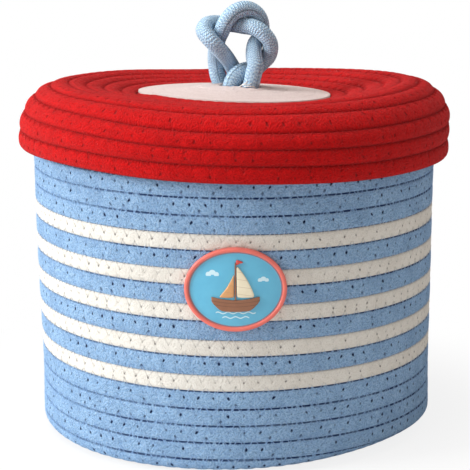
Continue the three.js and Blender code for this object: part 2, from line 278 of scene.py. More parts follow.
# How far the rows creep along the lid's profile, as round sums: its white middle, and all rows
DISC_CREEP = (5.5, -1.75, 0.96, -1.8, 1.05)
ROW_CREEP = (0.36, -1.3, 0.43, -1.19, -1.06)
FRONT_CREEP = 3.7


def lid_slide(s, angle):
    """How the lid's rows creep along its profile round the lid. The angle counts from the front."""
    disc = round_sum(angle, *DISC_CREEP) * smooth_step(s, 28, 60) * (1 - smooth_step(s, 66, 104))
    front = FRONT_CREEP * np.clip(np.cos(angle), 0, 1) ** 2.6
    front = front * smooth_step(s, 75, 118.8) * (1 - smooth_step(s, 118.8, 131))
    return s - disc - round_sum(angle, *ROW_CREEP) * smooth_step(s, 62, 104) - front


basket_coil = Coil(
    "basket", basket_path, first_row, WALL_PITCH, -1, 1, -BASE_TURNS, WALL_ROWS, wall_stitch,
    shifts=white_row_shifts(),
)
lid_rows = WHITE_LID_ROWS + RED_LID_ROWS
lid_coil = Coil("lid", lid_path, 0, LID_PITCH, 1, -1, 0, lid_rows, lid_stitch, slide=lid_slide)

# ---- how the sewn shape settles: slow waves that its rows, seams and badge share ----


def waves(angle, height, terms):
    total = 0
    for size, round_count, rise, shift in terms:
        total = total + size * np.sin(round_count * angle + rise * height + shift)
    return total


def saddle_sag(angle):
    """The lid and the rim under it sag at the front and, a little more, at the back."""
    back = 1.4 * np.clip(-np.cos(angle), 0, 1) ** 0.7 + 0.8 * bump(angle, 2.1, 0.35)
    return 2.0 + 2.0 * np.cos(2 * angle) + back


# How far the sewn rows lie above their even height: for each height a round sum
ROW_LIFTS = np.array([
    (0, 0, 0, 0, 0, 0),
    (10, -1.0, 0.11, -0.88, 0.26, 0.85),
    (25, -0.94, 0.18, -0.74, 0.67, 0.94),
    (50, -0.56, 0.05, -0.6, 0.65, 0.2),
    (100, -0.42, 0.06, -0.32, -0.28, 0.47),
    (150, -0.01, 0.46, -0.14, -0.21, -0.44),
    (190, 0, 0, 0, 0, 0),
])


def row_lift(angle, height):
    sizes = (np.interp(height, ROW_LIFTS[:, 0], column) for column in ROW_LIFTS[:, 1:].T)
    return round_sum(angle, *sizes)


def settle_basket(points):
    x, y, z = points[..., 0], points[..., 1], points[..., 2]
    radius, angle = np.hypot(x, y), np.arctan2(x, -y)
    soft = smooth_step(z, 6, 40) * (1 - smooth_step(z, 150, 172))
    push = soft * waves(
        angle, z, [(0.45, 2, 0.012, 0.6), (0.35, 3, -0.021, 1.9), (0.22, 7, 0.043, 0.3)]
    )
    lift = smooth_step(radius, 88, 116) * row_lift(angle, z)
    # The foot curls up a little at the right of the front and spreads at the left.
    corner = smooth_step(radius, 88, 121)
    curl = corner * (1 - smooth_step(z, 2, 12))
    lift = lift + curl * 3.7 * bump(angle, 0.85, 0.62)
    spread = corner * (1 - smooth_step(z, 14, 55))
    push = push + spread * 1.7 * bump(angle, -0.75, 0.5)
    lift = lift - smooth_step(z, 164, 196) * saddle_sag(angle)
    scale = (radius + push) / np.maximum(radius, 1)
    return stacked(x * scale, y * scale, z + lift)


LID_TILT = 0.04
LID_TILT_EASE = 0.018
LID_SINK = 2.0


def settle_lid(points):
    """The soft lid bends like a saddle, leans to the right and sits askew on the left."""
    x, y, z = points[..., 0], points[..., 1], points[..., 2]
    middle = LID_HEIGHT + mound_top + HALF_ROPE
    radius, angle = np.hypot(x, y), np.arctan2(x, -y)
    outer = smooth_step(radius, 58, 102)
    top = smooth_step(z, 172, 203)
    push = smooth_step(radius, 70, 125) * (
        0.45 + waves(angle, z, [(0.3, 3, 0.03, 0.5), (0.25, 5, -0.05, 1.2)])
    )
    lift = -outer * smooth_step(z, 178, 206) * saddle_sag(angle)
    lift = lift + outer * waves(angle, radius, [(0.25, 4, 0.02, 2.6), (0.2, 7, 0.05, 0.4)])
    tilt = LID_TILT - LID_TILT_EASE * smooth_step(radius, 20, 45)
    lift = lift - (1 - outer) * (tilt * x + 0.012 * y + 1.0 * smooth_step(radius, 15, 55))
    sunk = (1 - smooth_step(radius, 15, 56)) * (1 - smooth_step(z, middle - 0.5, middle + 9))
    lift = lift - LID_SINK * sunk
    lean = 0.017 * (z - LID_HEIGHT) + 1.6 * top * outer
    scale = (radius + push) / np.maximum(radius, 1)
    return stacked(x * scale + lean, y * scale, z + lift)


SETTLES = {"basket": settle_basket, "lid": settle_lid}

# ---- meshes ----


def add_piece(name, body, material, slot, node, points, faces, **values):
    """A piece from settled points in millimetres, arrays of faces and values at the points."""
    points = np.asarray(points, np.float32)
    corners = np.concatenate([np.ravel(f) for f in faces]).astype(np.int32)
    sizes = np.concatenate([np.full(len(f), f.shape[1]) for f in faces])
    starts = (np.cumsum(sizes) - sizes).astype(np.int32)
    mesh = bpy.data.meshes.new(name)
    mesh.vertices.add(points.size // 3)
    mesh.vertices.foreach_set("co", points.ravel() * MM)
    mesh.loops.add(len(corners))
    mesh.loops.foreach_set("vertex_index", corners)
    mesh.polygons.add(len(sizes))
    mesh.polygons.foreach_set("loop_start", starts)
    mesh.polygons.foreach_set("use_smooth", np.full(len(sizes), True))
    for key, value in values.items():
        made = mesh.attributes.new(key, "FLOAT_VECTOR", "POINT")
        value = np.broadcast_to(value, points.shape).astype(np.float32)
        made.data.foreach_set("vector", value.ravel())
    mesh.update(calc_edges=True)
    mesh.validate()
    piece = add_object(name, mesh)
    mesh.materials.append(material)
    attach(piece, body)
    if node:
        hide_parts(node)


def tube_faces(rings, sides, closed=False):
    """Quads between rings of points and, unless closed, triangles over the two ends."""
    ring = np.arange(rings if closed else rings - 1)[:, None]
    side = np.arange(sides)
    after, beside = (ring + 1) % rings * sides, (side + 1) % sides
    quads = stacked(ring * sides + side, ring * sides + beside, after + beside, after + side)
    if closed:
        return [quads.reshape(-1, 4)]
    corner = np.arange(1, sides - 1)
    end = (rings - 1) * sides
    caps = [stacked(0, corner + 1, corner), stacked(0, corner, corner + 1) + end]
    return [quads.reshape(-1, 4), np.concatenate(caps)]


def fan(middle, loop):
    """Triangles from one point to each side of a closed loop of points."""
    return stacked(middle, loop, np.roll(loop, -1))


def flipped(faces):
    return [f[:, ::-1] for f in faces]


# Needle holes: how far a seam's stitches reach into the row below it and the row above it
REACH_BELOW = 4.0
REACH_ABOVE = 2.4
SAMPLES_PER_STITCH = 6
OUTER_ACROSS = np.array([-1, -0.95, -0.84, -0.62, -0.4, -0.1, 0.18, 0.45, 0.72, 0.93, 1])
INNER_ACROSS = np.array([1, 0.92, 0.65, 0.2, -0.2, -0.55, -0.9, -1])

# How far the rope curls up round the coil's middle, and how near to the middle it comes
CURL_TURNS = 0.995
CURL_EDGE = 0.3


def wrapped(phase):
    return phase - np.round(phase)


def dents(phase, stitch, depth, shift, reach, line_depth):
    """How deep the thread pulls the rope in, where depth is the distance from the row's edge."""
    along = np.abs(wrapped(phase + shift)) * stitch
    hole = 0.5 * np.exp(-(along**2 + (depth - reach) ** 2) / 2.0)
    run = (reach - depth) / (REACH_BELOW + REACH_ABOVE) * stitch / 2
    line = line_depth * np.exp(-((along - run) ** 2) / 0.9) * (depth < reach)
    return np.maximum(hole, line)


def row_piece(
    name, material, slot, node, coil, first, last, section,
    low=None, high=None, lower_seam=1.0, curled=False,
):
    """One stretch of a coil, sampled in step with the stitches of its upper seam.

    The section is how far the row's face falls off to its seams, the power of that curve, the
    depth of the notch at the seam, how deep the holes are and how deep the thread's lines are.
    Low and high give the piece's limits along the profile at each turn. Where the rope is curled
    up at its start, the edge of its first turn reaches the coil's middle.
    """
    bulge, power, notch, pull, line_depth = section
    start, end = (coil.phase(turn) * SAMPLES_PER_STITCH for turn in (first, last))
    phases = np.arange(math.ceil(start), math.floor(end) + 1) / SAMPLES_PER_STITCH
    turns = [[first], coil.turn_at(phases), [last]]
    if curled:
        turns += [first + np.arange(0.02, 1.2, 0.02), [first + CURL_TURNS]]
    turns = np.sort(np.concatenate(turns))
    turns = turns[np.diff(turns, prepend=-np.inf) > 2e-5][:, None]
    centre = coil.start + coil.pitch * turns
    half = coil.pitch / 2 - ROW_GAP
    low_edge, high_edge = centre - half + coil.shift(turns - 1), centre + half + coil.shift(turns)
    if low:
        low_edge = np.maximum(low_edge, low(turns))
    if curled:
        low_edge = np.where(turns < first + CURL_TURNS, CURL_EDGE, low_edge)
    if high:
        high_edge = np.minimum(high_edge, high(turns))
    width = np.maximum(high_edge - low_edge, LEAST_WIDTH)
    share = np.concatenate([OUTER_ACROSS, INNER_ACROSS])
    side = np.repeat([1, -1], [len(OUTER_ACROSS), len(INNER_ACROSS)])
    across = low_edge + width * (share + 1) / 2 - centre
    thickness = HALF_ROPE * np.minimum(1, 0.55 + width / coil.pitch * 0.45)
    upper, lower = coil.phase(turns), coil.phase(turns - 1)
    around = TURN * np.abs(coil.path(centre, 0)[0])
    stitch = around / (coil.phase(turns + 0.5) - coil.phase(turns - 0.5))
    aside = np.abs(share)
    form = 1 - bulge * aside**power - notch * smooth_step(aside, 0.86, 1)
    # Where no row follows, the rope's edge is round.
    free = (turns > coil.last - 1) & (share > 0)
    form = np.where(free, np.minimum(form, (1 - aside**3.2) ** (1 / 3.2)), form)
    below_top, above_bottom = high_edge - centre - across, across - (low_edge - centre)
    top = dents(upper, stitch, below_top, 0, REACH_BELOW, line_depth)
    bottom = dents(lower, stitch, above_bottom, 0.5, REACH_ABOVE, line_depth)
    out = side * form * (thickness - pull * np.maximum(top, bottom))
    points = SETTLES[coil.body](coil.place(turns, across, out))
    # The rope's cut ends are drawn in a little.
    for ring, inset in ((0, 0.82), (1, 0.95), (-1, 0.82), (-2, 0.95)):
        middle = points[ring].mean(0)
        points[ring] = middle + (points[ring] - middle) * inset
    faces = tube_faces(*points.shape[:2])
    if coil.outward * coil.direction > 0:
        faces = flipped(faces)
    add_piece(
        name, coil.body, material, slot, node, points, faces,
        weave=stacked(coil.length(turns), across, side * 30),
        stitch=stacked(upper, lower, stitch),
        # The last edge value is how strongly the painted seam shade shows along the row's lower seam
        edge=stacked(below_top, above_bottom, lower_seam),
    )


# ---- materials ----


def node_sum(operation):
    """An operator of Value that adds a math node to its tree."""
    return lambda self, *others: self.tree.math(operation, self, *others)


class Value:
    """A node's output. Sums with it add math nodes to its tree."""

    def __init__(self, tree, socket):
        self.tree, self.socket = tree, socket

    def __rsub__(self, other):
        return self.tree.math("SUBTRACT", other, self)

    __add__, __sub__, __mul__ = map(node_sum, ("ADD", "SUBTRACT", "MULTIPLY"))
    __truediv__, __pow__, __abs__ = map(node_sum, ("DIVIDE", "POWER", "ABSOLUTE"))


class Tree:
    """A small help for building the nodes of a material or the world."""

    def __init__(self, owner):
        owner.use_nodes = True
        self.owner = owner
        self.nodes, self.links = owner.node_tree.nodes, owner.node_tree.links
        self.nodes.clear()

    def new(self, kind, inputs=(), **settings):
        made = self.nodes.new("ShaderNode" + kind)
        for key, value in settings.items():
            setattr(made, key, value)
        for key, value in dict(inputs).items():
            if isinstance(value, Value):
                self.links.new(value.socket, made.inputs[key])
            else:
                made.inputs[key].default_value = value
        return made

    def node(self, kind, inputs=(), output=0, **settings):
        return Value(self, self.new(kind, inputs, **settings).outputs[output])

    def math(self, operation, *values):
        return self.node("Math", enumerate(values), operation=operation)

    def split(self, vector):
        made = self.new("SeparateXYZ", {0: vector})
        return [Value(self, socket) for socket in made.outputs]

    def stored(self, attribute, output="Vector"):
        return self.node("Attribute", output=output, attribute_name=attribute)

    def place(self):
        return self.node("TexCoord", output="Object")

    def joined(self, *parts):
        return self.node("CombineXYZ", enumerate(parts))

    def noise(self, vector, scale, detail=2.0, roughness=0.5):
        inputs = {"Vector": vector, "Scale": scale, "Detail": detail, "Roughness": roughness}
        return self.node("TexNoise", inputs, "Fac")

    def random(self, value):
        return self.node("TexWhiteNoise", {"W": value}, "Value", noise_dimensions="1D")

    def ranged(self, value, from_low, from_high, to_low=0.0, to_high=1.0):
        inputs = enumerate((value, from_low, from_high, to_low, to_high))
        return self.node("MapRange", inputs, interpolation_type="SMOOTHSTEP")

    def painted(self, shade, *layers):
        """Layers of colour over a shade, each with the share that shows."""
        for share, tone in layers:
            shade = self.node("Mix", {0: share, 6: shade, 7: tone}, 2, data_type="RGBA")
        return shade

    def surface(self, colour, relief, strength, depth, **constants):
        bump = self.node("Bump", {"Height": relief, "Strength": strength, "Distance": depth})
        inputs = {key.replace("_", " "): value for key, value in constants.items()}
        shader = self.node("BsdfPrincipled", {"Base Color": colour, "Normal": bump, **inputs})
        self.new("OutputMaterial", {0: shader})
        return self.owner


def material_tree(name):
    return Tree(bpy.data.materials.new(name))


def linear(*display):
    """A colour written as 0 to 255 display values."""
    shares = (value / 255 for value in display)
    return (*(v / 12.92 if v <= 0.04045 else ((v + 0.055) / 1.055) ** 2.4 for v in shares), 1.0)


def rope_material(name, colours, shares, relief_depth):
    """Knitted cotton rope with slanted strokes, needle holes, stitch grooves and seams, where shade
    is painted into the colour: near the row edges, along the seams, in the grooves and in the holes.

    The colours are the rope's own, a lighter and a darker one, the painted shade of the holes and
    the painted shade of the seams and grooves. The darker one also paints the shade near the row
    edges. The shares say how strongly strokes, edge shade, seam shade, groove shade and hole shade
    show, and how large the holes are.
    """
    colour, light, dark, hole_shade, line = (linear(*display) for display in colours)
    stroke_share, edge_shade_share, seam_shade_share, groove_shade_share, hole_shade_share, hole_size = shares
    t = material_tree(name)
    along, across, side = t.split(t.stored("weave"))
    upper, lower, stitch = t.split(t.stored("stitch"))
    below_top, above_bottom, lower_seam = t.split(t.stored("edge"))
    place = t.joined(along, across, side)

    def strokes(sign, seed):
        steep, flat = across * sign + along, across * -sign + along
        return t.noise(t.joined(steep * 0.5, flat * 1.3, side + seed), 1.0, 1.0)

    left, right = strokes(1.0, 0.0), strokes(-1.0, 11.3)
    over, under = t.math("MAXIMUM", left, right), t.math("MINIMUM", left, right)
    mottle, ragged = t.noise(place, 0.06, 3), t.noise(place, 0.8)
    speckle = t.noise(place, 1.25, 2, 0.6)

    def seam(phase, shift, depth, reach, seed):
        """The holes and grooves of one seam, and each stitch's own random value."""
        moved = phase + shift
        index = t.math("ROUND", moved)
        off = (moved - index) * stitch
        chance, other = t.random(index + side + seed), t.random(index + side + (seed + 0.37))
        gone = depth - reach
        slanted = (other - 0.5) * gone + off
        away = t.math("SQRT", slanted**2 + (gone * 0.66) ** 2)
        hole = t.ranged(away - (chance * 0.34 + hole_size), 0.24, -0.1)
        hole = hole * t.ranged(chance, 0.05, 0.7, 0.2, 1.0)
        run = (reach - depth) * stitch / ((REACH_BELOW + REACH_ABOVE) * 2)
        groove = t.ranged(abs(abs(off) - run), 0.5, 0.18)
        return hole, groove * t.ranged(depth, reach + 0.3, reach - 0.2), chance

    hole_a, groove_a, chance_a = seam(upper, 0.0, below_top, REACH_BELOW, 0.11)
    hole_b, groove_b, chance_b = seam(lower, 0.5, above_bottom, REACH_ABOVE, 7.73)
    holes = t.math("MAXIMUM", hole_a, hole_b * t.ranged(chance_b, 0.4, 1.0, 0.0, 0.7))
    shown_a = groove_a * t.ranged(chance_a, 0.0, 1.0, 0.45, 1.0)
    shown_b = groove_b * t.ranged(chance_b, 0.2, 1.0, 0.0, 0.55)
    grooves = t.math("MAXIMUM", shown_a, shown_b)
    edge = t.math("MINIMUM", below_top, above_bottom)

    def dashes(phase):
        return t.ranged(t.noise(t.joined(phase, 0.0, side), 3.1, 1.0), 0.38, 0.48, 0.06, 1.0)

    # The painted seam shade fades in stretches, and at the brightly lit left side, where the painted
    # groove shade fades too.
    lit = t.ranged(t.split(t.place())[0], -0.118, -0.045, 0.3, 1.0)
    fade = t.ranged(t.noise(t.joined(along, 0.0, side), 0.05), 0.35, 0.6, 0.6, 1.0) * lit
    top_seam_shade = t.ranged(below_top, 0.95, 0.5) * dashes(upper)
    bottom_seam_shade = t.ranged(above_bottom, 0.5, 0.2) * dashes(lower) * lower_seam
    seam_shade = t.math("MAXIMUM", top_seam_shade, bottom_seam_shade) * fade
    shade = t.painted(
        colour,
        (t.ranged(over, 0.53, 0.66) * stroke_share, light),
        (t.ranged(under, 0.42, 0.34) * stroke_share, dark),
        # Painted shade near the row edges, where the rows meet
        (t.ranged(edge, 2.0, 0.2) * edge_shade_share, dark),
        (t.ranged(speckle, 0.42, 0.3) * stroke_share, dark),
        (t.ranged(speckle, 0.58, 0.7) * stroke_share, light),
        (t.ranged(mottle, 0.4, 0.7, 0.0, 0.25), dark),
        (t.ranged(ragged, 0.55, 0.75, 0.0, 0.25), light),
        # Painted shade in the grooves where the zigzag thread sinks in
        (grooves * lit * groove_shade_share, line),
        # Painted shade in the slits along the seams
        (seam_shade * seam_shade_share, line),
        # Painted shade in the needle holes
        (holes * hole_shade_share, hole_shade),
    )
    relief = over + under + speckle * 0.5 - grooves * 0.08 - holes
    return t.surface(
        shade, relief, 1.0, relief_depth, Roughness=0.95, Sheen_Weight=0.05, Specular_IOR_Level=0.1
    )


# For each rope the last two colours are painted shade: in the needle holes, and along the seams and
# stitch grooves
blue_rope = rope_material(
    "blue_rope", ((150, 187, 226), (184, 212, 238), (86, 122, 168), (20, 38, 76), (30, 54, 100)),
    (0.5, 0.1, 1.0, 0.1, 1.0, 0.3), 0.0011,
)
white_rope = rope_material(
    "white_rope",
    ((230, 225, 217), (240, 237, 231), (204, 195, 184), (96, 90, 88), (158, 152, 148)),
    (0.3, 0.1, 0.25, 0.26, 0.8, 0.12), 0.0005,
)
felted_white_rope = rope_material(
    "felted_white_rope",
    ((219, 201, 197), (234, 218, 213), (202, 180, 175), (150, 136, 132), (184, 172, 168)),
    (0.5, 0.05, 0.12, 0.05, 0.25, 0.1), 0.0003,
)
red_rope = rope_material(
    "red_rope", ((204, 12, 14), (216, 22, 22), (152, 4, 8), (108, 2, 6), (128, 4, 8)),
    (0.6, 0.5, 0.35, 0.1, 0.6, 0.2), 0.0011,
)


def thread_material(name):
    t = material_tree(name)
    twist = t.noise(t.place(), 2600)
    gap = t.ranged(twist, 0.4, 0.75, 0.0, 0.3)
    shade = t.painted(t.stored("tint", "Color"), (gap, (0.08, 0.08, 0.09, 1)))
    return t.surface(
        shade, twist, 0.6, 0.0001, Roughness=0.85, Sheen_Weight=0.05, Specular_IOR_Level=0.15
    )


seam_thread = thread_material("seam_thread")
WALL_THREAD, LID_THREAD = 0.44, 0.38
LEG_STATIONS = np.array([0.0, 0.13, 0.5, 0.87, 1.0])
WALL_LEG_OUT = np.array([-0.8, -0.2, -0.34, -0.2, -0.8])
LID_LEG_OUT = np.array([-0.9, -0.55, -1.35, -0.55, -0.9])


def seam_threads(name, face, coil, first, last, tone_of, leg_out, thickness):
    """The zigzag over the seams of one face of a coil: thread between holes in the two rows."""
    legs = np.arange(math.ceil(coil.phase(first) * 2), math.floor(coil.phase(last) * 2))[:, None]
    turns = coil.turn_at((legs + LEG_STATIONS) / 2)
    climb = np.where(legs % 2 == 0, LEG_STATIONS, 1 - LEG_STATIONS)
    across = coil.pitch / 2 + coil.shift(turns) - REACH_BELOW + climb * (REACH_BELOW + REACH_ABOVE)
    out = HALF_ROPE + leg_out
    centre = coil.place(turns, across, face * out)
    outward = coil.place(turns, across, face * (out + 1)) - centre
    sideways = np.cross(np.gradient(centre, axis=1), outward)
    sideways /= np.linalg.norm(sideways, axis=-1, keepdims=True)
    corners = [sideways, outward * 0.8, -sideways, -outward * 0.8]
    rings = np.stack([centre + thickness / 2 * corner for corner in corners], 2)
    one_leg = flipped(tube_faces(len(LEG_STATIONS), len(corners)))
    starts = np.arange(len(legs))[:, None, None] * len(LEG_STATIONS) * len(corners)
    faces = [(f + starts).reshape(-1, f.shape[1]) for f in one_leg]
    tints = tone_of(turns, climb)[:, :, None]
    points = SETTLES[coil.body](rings)
    add_piece(name, coil.body, seam_thread, "thread", None, points, faces, tint=tints)


# ---- rope rows ----

WALL_SECTION = (0.08, 4.0, 0.07, 1.0, 0.2)
STRIPE_SECTION = (0.08, 4.0, 0.07, 0.7, 0.04)
FELTED_SECTION = (0.012, 3.0, 0.02, 0.25, 0.1)
RED_SECTION = (0.34, 2.3, 0.04, 0.85, 0.2)
BUTT = 0.2 / (TURN * FOOT_RADIUS)


def basket_row(name, node, first, last, white=False, **limits):
    slot, material, section = "blue_rope", blue_rope, WALL_SECTION
    if white:
        slot, material, section = "white_rope", white_rope, STRIPE_SECTION
    row_piece(name, material, slot, node, basket_coil, first, last, section, **limits)


basket_row("base_rope", "base_coil", -BASE_TURNS, -BUTT, curled=True)
stripes = [(f"{tone}_stripe_{number}", 1) for number in range(1, 6) for tone in ("white", "blue")]
turn = 0
for name, count in [("lower_wall", 5), *stripes[:-1], ("upper_wall", 6)]:
    # Single stripe rows get less painted seam shade along their lower seam
    basket_row(
        name + "_rope", name if count == 1 else name + "_coil", turn + BUTT, turn + count - BUTT,
        "white" in name, high=lambda turns: rim_end + 0.2, lower_seam=1.0 if count > 1 else 0.3,
    )
    turn += count

# The white rope ends in a slanted cut at the left of the lid, where the red rope begins.
LID_JOINT = WHITE_LID_ROWS + 0.32
CUT_TURNS = 0.1
CUT_END = 0.002


def lid_cut(turns):
    share = np.clip((turns - LID_JOINT + CUT_TURNS) / CUT_TURNS, 0, 1)
    return LID_PITCH * (turns + 0.5 - share)


first_lid_turn = (opening_start + 1.6 - 4.7) / LID_PITCH
row_piece(
    "lid_white_rope", felted_white_rope, "white_rope", "lid_white_centre", lid_coil,
    first_lid_turn, LID_JOINT - CUT_END, FELTED_SECTION,
    low=lambda turns: opening_start, high=lambda turns: lid_cut(turns) - ROW_GAP,
)
row_piece(
    "lid_red_rope", red_rope, "red_rope", "lid_red_coil", lid_coil,
    LID_JOINT - CUT_TURNS + CUT_END, lid_rows, RED_SECTION,
    low=lambda turns: lid_cut(turns) + ROW_GAP,
)

BLUE_TONE, WHITE_TONE, RED_TONE = (
    np.array(linear(*tone)[:3]) for tone in ((146, 179, 222), (228, 223, 216), (190, 14, 16))
)
rows_white = np.array([is_white(row) for row in range(WALL_ROWS + 1)])


def wall_tones(turns, climb):
    row = np.floor(turns[:, :1] + 0 * turns) + (climb > 0.54)
    row = np.clip(row, 0, len(rows_white) - 1).astype(int)
    return np.where(rows_white[row][..., None], WHITE_TONE, BLUE_TONE)


def lid_tones(turns, climb):
    return np.where((turns < LID_JOINT)[..., None], WHITE_TONE, RED_TONE)


for face, side in ((1, "outer"), (-1, "inner")):
    for part, *seams in (
        ("base", basket_coil, -BASE_TURNS + 0.6, -1, wall_tones, WALL_LEG_OUT, WALL_THREAD),
        ("wall", basket_coil, -1, WALL_ROWS - 1.85, wall_tones, WALL_LEG_OUT, WALL_THREAD),
        ("lid", lid_coil, LID_JOINT, lid_rows - 1, lid_tones, LID_LEG_OUT, LID_THREAD),
    ):
        seam_threads(f"{part}_thread_{side}", face, *seams)

# ---- handle of one knitted rope ----

LID_MIDDLE_TOP = LID_HEIGHT + mound_top + HALF_ROPE
LID_MIDDLE_UNDERSIDE = LID_MIDDLE_TOP - ROPE

# The handle's route from the end of its first tail to the end of its second one, in parts whose
# heights count by turns from the underside of the lid's middle and from its top
first_tail = [(-38, 2, -10.4), (-20, 2, -10.2), (-12.5, 2, -6.1), (-10.3, 2.3, -0.5)]
first_strand = [
    (-8.3, 7.3, -3.1), (-10.7, 9, 4.5), (-11.6, 9, 11.9), (-11.2, 6.6, 18.4), (-10.2, 2.6, 24.3),
    (-7.8, -1.6, 29.5), (-5.4, -4.1, 35.2), (-1.1, -3.6, 40.3), (4.1, -1.2, 42.6), (9.4, 1.7, 42.3),
    (13.8, 4.3, 39.3), (15.9, 6, 35.1), (16.4, 6.2, 30.2), (15.5, 4.8, 25.8), (12.4, 1.3, 21.8),
    (11.7, -4.4, 15.8), (12.6, -8.5, 9.4), (11.1, -9.4, 3.4), (9.5, -8.4, -2.4),
]
bight = [(9, -5.3, -3.8), (8.3, -2, -9), (6, 2, -11.2), (3.4, 6.2, -9.1), (2.5, 9.6, -3.7)]
second_strand = [
    (2.3, 11.2, -2.8), (0.6, 10, 2.9), (-1.8, 5.8, 8.2), (-7.4, -4.1, 16.3), (-12.3, -7.8, 21.8),
    (-15.7, -7.2, 25.2), (-18.6, -2.8, 29.2), (-17, 3.5, 32.5), (-11.9, 7.8, 33.3), (-6.7, 8.1, 33),
    (-1.2, 5.7, 33), (4.8, 0.9, 32.7), (11, -3.3, 32.3), (16.5, -5.1, 29.5), (21.4, -3.7, 23.4),
    (20.6, 1.2, 14.9), (15.1, 3.6, 9.2), (10.6, 2.8, 6.4), (6.2, -0.1, 5.5), (1.7, -3.6, 3.5),
    (-1.5, -5.5, 0.5), (-3, -6.6, -4.2),
]
second_tail = [(-4.4, -8.7, -3.8), (-4.6, -12.4, -8.3), (-5, -20, -10.2), (-5, -38, -10.4)]
handle_points = [
    (x, y, z + (LID_MIDDLE_UNDERSIDE, LID_MIDDLE_TOP)[number % 2])
    for number, part in enumerate((first_tail, first_strand, bight, second_strand, second_tail))
    for x, y, z in part
]


def smooth_line(points, spacing):
    """A centripetal Catmull-Rom curve through the points, resampled to even steps."""
    points = np.array(points, float)
    points = np.concatenate([[2 * points[0] - points[1]], points, [2 * points[-1] - points[-2]]])
    share = np.linspace(0, 1, 40, endpoint=False)[:, None]
    dense = []
    for k in range(1, len(points) - 2):
        p0, p1, p2, p3 = points[k - 1 : k + 3]
        d0, d1, d2 = (math.sqrt(np.linalg.norm(b - a)) for a, b in ((p0, p1), (p1, p2), (p2, p3)))
        t1 = ((p1 - p0) / d0 - (p2 - p0) / (d0 + d1) + (p2 - p1) / d1) * d1
        t2 = ((p2 - p1) / d1 - (p3 - p1) / (d1 + d2) + (p3 - p2) / d2) * d1
        curve = 3 * (p2 - p1) - 2 * t1 - t2
        twist = 2 * (p1 - p2) + t1 + t2
        dense.append(p1 + t1 * share + curve * share**2 + twist * share**3)
    dense = np.concatenate([*dense, [points[-2]]])
    lengths = np.concatenate([[0], np.cumsum(np.linalg.norm(np.diff(dense, axis=0), axis=1))])
    even = np.linspace(0, lengths[-1], int(lengths[-1] / spacing) + 1)
    return np.stack([np.interp(even, lengths, dense[:, k]) for k in range(3)], -1), even


def carried_frames(line):
    """Two directions across the line, carried along it without twist."""
    forward = np.gradient(line, axis=0)
    forward /= np.linalg.norm(forward, axis=1, keepdims=True)
    first = np.cross(forward[0], (0.3, 0.2, 1))
    sides = [first / np.linalg.norm(first)]
    for direction in forward[1:]:
        carried = sides[-1] - direction * (sides[-1] @ direction)
        sides.append(carried / np.linalg.norm(carried))
    sides = np.array(sides)
    return sides, np.cross(forward, sides)


def rings_round(line, radius, angles):
    """Rings of points round a line, with one radius or one for each point of each ring."""
    across, over = carried_frames(line)
    turned = across[:, None] * np.cos(angles)[:, None] + over[:, None] * np.sin(angles)[:, None]
    return line[:, None] + turned * np.asarray(radius)[..., None]


WALES = 20
COURSE = 1.45


def knitted_rope(points, diameter):
    """A tube with a knitted skin: columns of V stitches, two mesh columns to each."""
    line, lengths = smooth_line(points, COURSE / 4)
    lengths = lengths[:, None]
    columns = np.arange(2 * WALES)
    angles = TURN * columns / len(columns)
    wale, second = columns // 2, columns % 2
    shift = 0.27 * wale + 0.3 * np.sin(5.1 * wale)
    phase = lengths / COURSE + 0.42 * second + shift
    relief = 0.14 * np.cos(TURN * phase) - 0.13 * second
    slow = 0.12 * np.sin(lengths / 7.3) + 0.1 * np.sin(lengths / 4.1 + 2 * angles)
    end = np.minimum(lengths, lengths[-1] - lengths)
    radius = (diameter / 2 - 0.1 + relief + slow) * np.sqrt(np.clip(end / 2.5, 0.04, 1))
    weave = stacked(lengths / COURSE + shift, columns / 2, lengths)
    return rings_round(line, radius, angles), weave


def knit_material(name):
    base, dark, light = linear(198, 231, 255), linear(92, 134, 184), linear(230, 247, 255)
    t = material_tree(name)
    course, wale, length = t.split(t.stored("weave"))
    inside = abs(t.math("FRACT", wale + 0.5) * 2.0 - 1.0)
    slant = (1.0 - inside) * 0.42 + course
    ridge = t.math("COSINE", slant * TURN) * 0.5 + 0.5
    place = t.joined(length, wale * 1.55, 0.0)
    fleck, fine = t.noise(place, 1.1, 1.0), t.noise(place, 2.6, 2.0, 0.6)
    mottle = t.noise(place, 0.15)
    shade = t.painted(
        base,
        # Painted shade in the hollows between the V stitches, painted highlight on their crests
        (t.ranged(ridge, 0.36, 0.06, 0.0, 0.6), dark),
        (t.ranged(ridge, 0.7, 0.95, 0.0, 0.5), light),
        (t.ranged(fleck, 0.43, 0.33, 0.0, 0.4), dark),
        (t.ranged(fleck, 0.54, 0.66, 0.0, 0.5), light),
        (t.ranged(mottle, 0.35, 0.7, 0.0, 0.1), dark),
    )
    relief = fine * 0.5 + (ridge * 0.8 + fleck)
    return t.surface(
        shade, relief, 1.0, 0.0006, Roughness=0.95, Sheen_Weight=0.06, Specular_IOR_Level=0.1
    )


handle_rings, handle_weave = knitted_rope(handle_points, HANDLE_DIAMETER)
add_piece(
    "handle_knitted_rope", "lid", knit_material("handle_rope"), "handle_rope", "handle_rope",
    settle_lid(handle_rings), tube_faces(*handle_rings.shape[:2]), weave=handle_weave,
)

# ---- puckered lip of the lid round the handle's feet ----

FAR_FROM_SEAMS = 9.0


